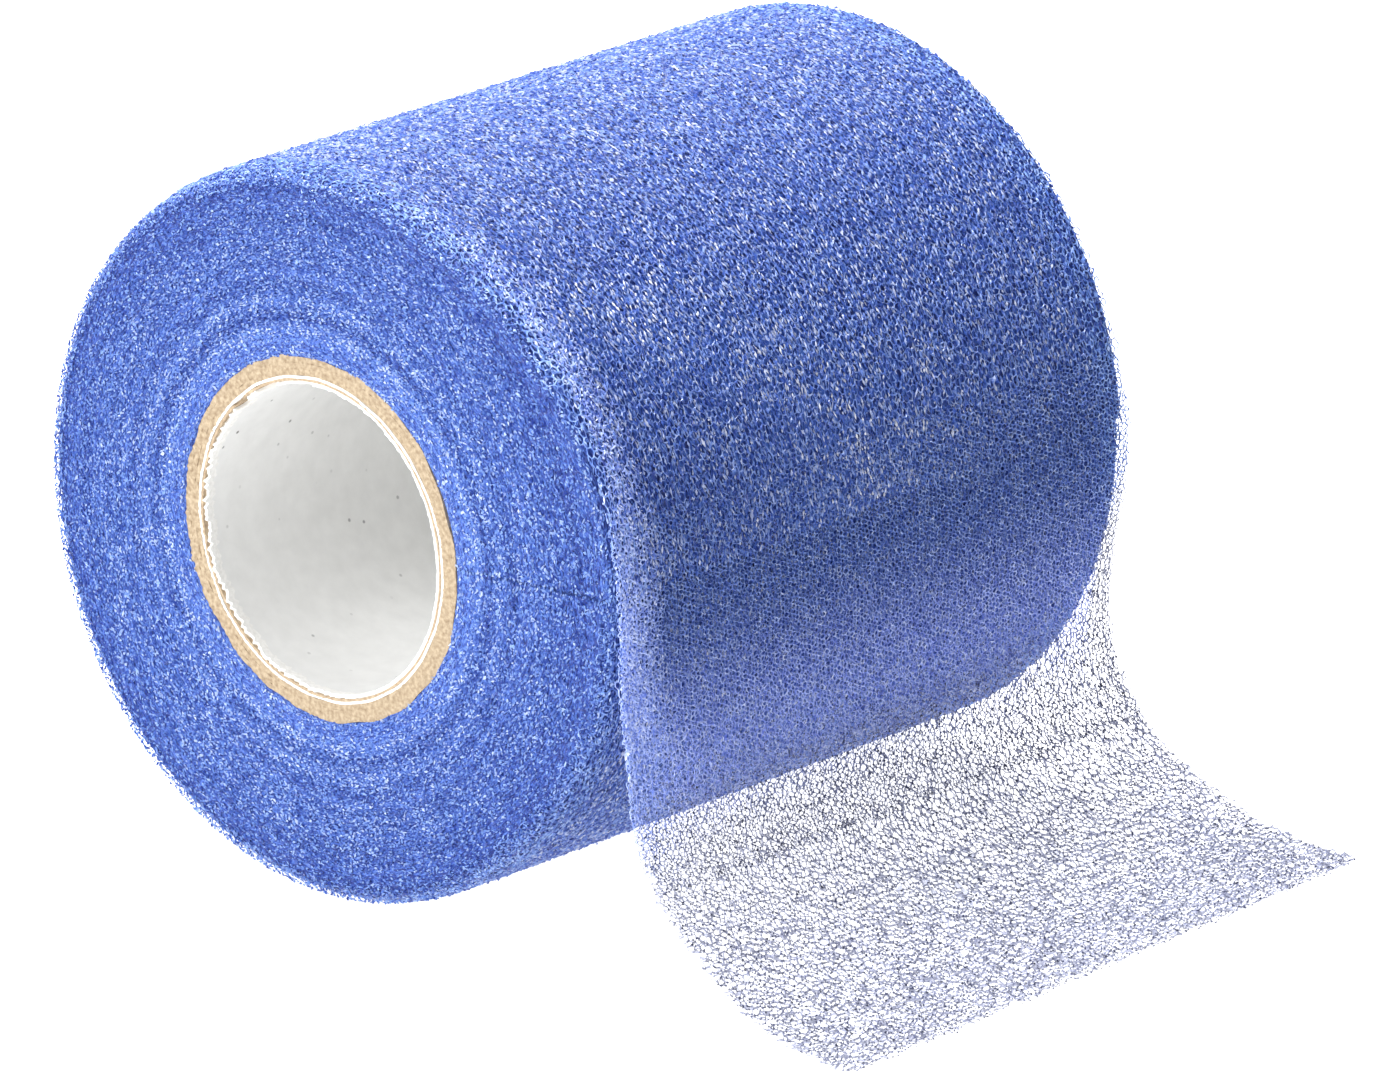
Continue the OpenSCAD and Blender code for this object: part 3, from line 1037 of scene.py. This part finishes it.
def end_flecks(name, side, rim, upper, pitch, size):
    """The cut and broken edges of all the turns, on the upper or lower half of an end: the near one, where
    side is -1, or the far one, where it is 1."""
    random = np.random.default_rng(40 + side + 2 * upper)
    width, depth = rim
    side_r = ROLL_R - TURN_PITCH / 2 - PACK_DEPTH
    spots = scatter((-side_r, -side_r), (side_r, side_r), np.array([pitch, pitch]), random)
    radius = np.hypot(*spots.T)
    kept = (radius > CORE_R + EDGE_MARGIN) & (radius < side_r - 0.05 * depth) & ((spots[:, 1] > 0) == upper)
    spots, radius = spots[kept], radius[kept]

    up = 1 - np.clip((side_r - radius) / depth, 0, 1)
    middle = scatter_off(spots, END_OFF - width * (1 - np.sqrt(1 - up**2)), random)
    turn = np.arctan2(spots[:, 1], spots[:, 0]) + math.pi / 2 + random.normal(0, 0.6, len(spots))
    flat, faces = flecks(middle, turn, size, random)
    x, z, off = flat.T
    radius, y = np.hypot(x, z), side * (HALF_W + off)
    outward = 1 + swell(np.arctan2(z, x), y) * (radius - CORE_R) / (side_r - CORE_R) / radius
    points = np.stack([x * outward, y, z * outward], axis=1)
    return mesh_piece(name, points, [faces[:, ::-side]], [fleck_blue])


def side_flecks(name, start, end, seed):
    """Broken struts between the pressed turns and the last one, drawn out along the film."""
    random = np.random.default_rng(seed)
    reach = HALF_W - EDGE_MARGIN
    spots = scatter((start, -reach), (end, reach), SIDE_PITCH, random)
    middle = scatter_off(spots, SIDE_OFF - rim_drop(spots[:, 1]), random)
    flat, faces = flecks(middle, random.normal(0, 0.25, len(spots)), SIDE_FLECK, random)
    return mesh_piece(name, pack_place(*flat.T), [faces], [fleck_blue])


SIDE_PARTS = 4
# The roll's ends: (name, side, rim, pitch of its flecks, their size)
ROLL_ENDS = [
    ("near", -1, NEAR_RIM, 0.25 * MM, np.array([0.36, 0.2, 0.2]) * MM),
    ("far", 1, FAR_RIM, 0.36 * MM, np.array([0.48, 0.22, 0.22]) * MM),
]
wound_pieces = [pack_piece()]
for end, side, rim, pitch, size in ROLL_ENDS:
    for half, upper in (("upper", True), ("lower", False)):
        wound_pieces.append(end_flecks(f"{end}_end_{half}", side, rim, upper, pitch, size))
for part in range(SIDE_PARTS):
    span = TURN_LEN / SIDE_PARTS
    start = -TURN_LEN + span * part
    wound_pieces.append(side_flecks(f"side_flecks_{part + 1}", start, start + span, 60 + part))
for piece in wound_pieces:
    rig.replaces(piece, "wound_film")
    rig.slot(piece, "wound_foam")
    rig.ride(piece, "roll")

# ---------------------------------------------------------------- the last turn and the loose end

TURN_PARTS = 5
OVERLAP = 6 * MM  # how far back round the roll the loose end's first piece reaches
SOFT_FOLD = 4 * MM  # half the length over which the film turns at a hinge
TURN_SOLID = 0.6  # area declared for the last turn, as a share of its rectangle: its cells are open

turn_net = Net((-TURN_LEN, -HALF_W), (0, HALF_W), 0.6 * MM, 1.4, 0, 1)
loose_net = Net((-OVERLAP, -HALF_W), (TAIL_LEN, HALF_W), 0.57 * MM, 0.74, 0, 2)
back_net = Net((-OVERLAP, -HALF_W), (TAIL_LEN, HALF_W), 0.95 * MM, 0.72, 0, 3)
foot_net = Net((0, -HALF_W), (TAIL_LEN, HALF_W), 0.43 * MM, 2.1, -0.25 * math.pi, 4)
foot_back_net = Net((0, -HALF_W), (TAIL_LEN, HALF_W), 0.62 * MM, 2.1, -0.25 * math.pi, 5)
TURN_LAYERS = [(turn_net, strut_width, no_veils, FRONT_OFF)]
HUNG_LAYERS = [
    (loose_net, strut_width, veil_share, FRONT_OFF),
    (back_net, back_strut_width, no_veils, BACK_OFF),
]
LAID_LAYERS = [
    (foot_net, strut_width, veil_share, FRONT_OFF),
    (foot_back_net, back_strut_width, no_veils, BACK_OFF),
]

turn_ends = np.linspace(-TURN_LEN, -OVERLAP, TURN_PARTS + 1)
for part in range(TURN_PARTS):
    start, end = turn_ends[part : part + 2]
    turn = film_piece(f"last_turn_{part + 1}", TURN_LAYERS, (start, -HALF_W), (end, HALF_W))
    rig.replaces(turn, "outer_turn")
    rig.slot(turn, "wound_foam")
    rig.ride(turn, "roll")
    area = TURN_SOLID * FILM_W * (end - start)
    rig.sheet(turn, (FILM_W, end - start), "stretched", ["wound_turns"], area=area)


def film_point(along):
    x, z, _ = film_line(along)
    return (float(x), 0, float(z))


loose_ends = [-OVERLAP, (FOLDS[0] + FOLDS[1]) / 2, (FOLDS[1] + FOLDS[2]) / 2, TAIL_LEN]
bodies = ["roll", "drop", "sweep", "foot"]
LOOSE_PARTS = [(HUNG_LAYERS, "hung"), (HUNG_LAYERS, "hung"), (LAID_LAYERS, "laid")]
for part, body in enumerate(bodies[1:]):
    layers, held = LOOSE_PARTS[part]
    start, end = loose_ends[part : part + 2]
    for side, low, high in (("near", -HALF_W, 0), ("far", 0, HALF_W)):
        loose = film_piece(f"loose_{body}_{side}", layers, (start, low), (end, high))
        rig.replaces(loose, f"tail_{body}")
        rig.slot(loose, "loose_foam")
        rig.sheet(loose, (HALF_W, end - start), held, ["wound_turns"])
        fold_ends = film_point(FOLDS[part] - SOFT_FOLD), film_point(FOLDS[part] + SOFT_FOLD)
        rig.blend(loose, bodies[part], body, *fold_ends)

# ---------------------------------------------------------------- table, light and camera


def make_table():
    """A white table that glows, as a light table does, so that its shadows are faint."""
    material, _, shader = new_material("table_white", 0.9)
    shader.inputs["Base Color"].default_value = (0.3, 0.3, 0.3, 1)
    shader.inputs["Specular IOR Level"].default_value = 0.0
    shader.inputs["Emission Color"].default_value = (1, 1, 1, 1)
    shader.inputs["Emission Strength"].default_value = 1.25
    reach = 3.0
    corners = [(-reach, -reach), (reach, -reach), (reach, reach), (-reach, reach)]
    points = np.column_stack([corners, np.full(4, FLOOR_Z)])
    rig.stage(mesh_piece("table", points, [np.array([[0, 1, 2, 3]])], [material]))


def area_light(name, place, size, power):
    light = bpy.data.lights.new(name, "AREA")
    light.shape = "DISK"
    light.size = size
    light.energy = power
    lamp = bpy.data.objects.new(name, light)
    lamp.location = place
    lamp.rotation_euler = (-Vector(place)).to_track_quat("-Z", "Y").to_euler()
    bpy.context.scene.collection.objects.link(lamp)


def make_lights():
    world = bpy.data.worlds.new("studio")
    world.use_nodes = True
    world.node_tree.nodes["Background"].inputs["Color"].default_value = (1, 1, 1, 1)
    world.node_tree.nodes["Background"].inputs["Strength"].default_value = 0.38
    bpy.context.scene.world = world
    area_light("key_light", (-0.2, 0.1, 0.9), 0.3, 13.0)
    area_light("back_light", (-0.5, 0.55, 0.6), 0.5, 7.0)
    area_light("fill_light", (-0.2, -0.85, 0.45), 0.5, 10.5)
    bpy.context.scene.view_settings.view_transform = "Standard"


def make_camera():
    azimuth, elevation = math.radians(42.5), math.radians(18.6)
    distance, lens = 1.331, 376
    right = Vector((math.cos(azimuth), math.sin(azimuth), 0))
    back = Vector((
        math.sin(azimuth) * math.cos(elevation),
        -math.cos(azimuth) * math.cos(elevation),
        math.sin(elevation),
    ))
    up = back.cross(right)
    aside, below = 10.32, 7.9  # mm from the roll's middle to the middle of the picture
    middle = right * aside * MM - up * below * MM
    camera = bpy.data.objects.new("camera", bpy.data.cameras.new("camera"))
    camera.data.lens = lens
    camera.data.clip_end = 20
    camera.location = middle + back * distance
    camera.rotation_euler = back.to_track_quat("Z", "Y").to_euler()
    bpy.context.scene.collection.objects.link(camera)
    bpy.context.scene.camera = camera


make_table()
make_lights()
make_camera()

with open("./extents.json", "w") as out:
    json.dump({"cad": [list(p) for p in cad_box], "visual": [list(p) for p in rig.bounds()]}, out)
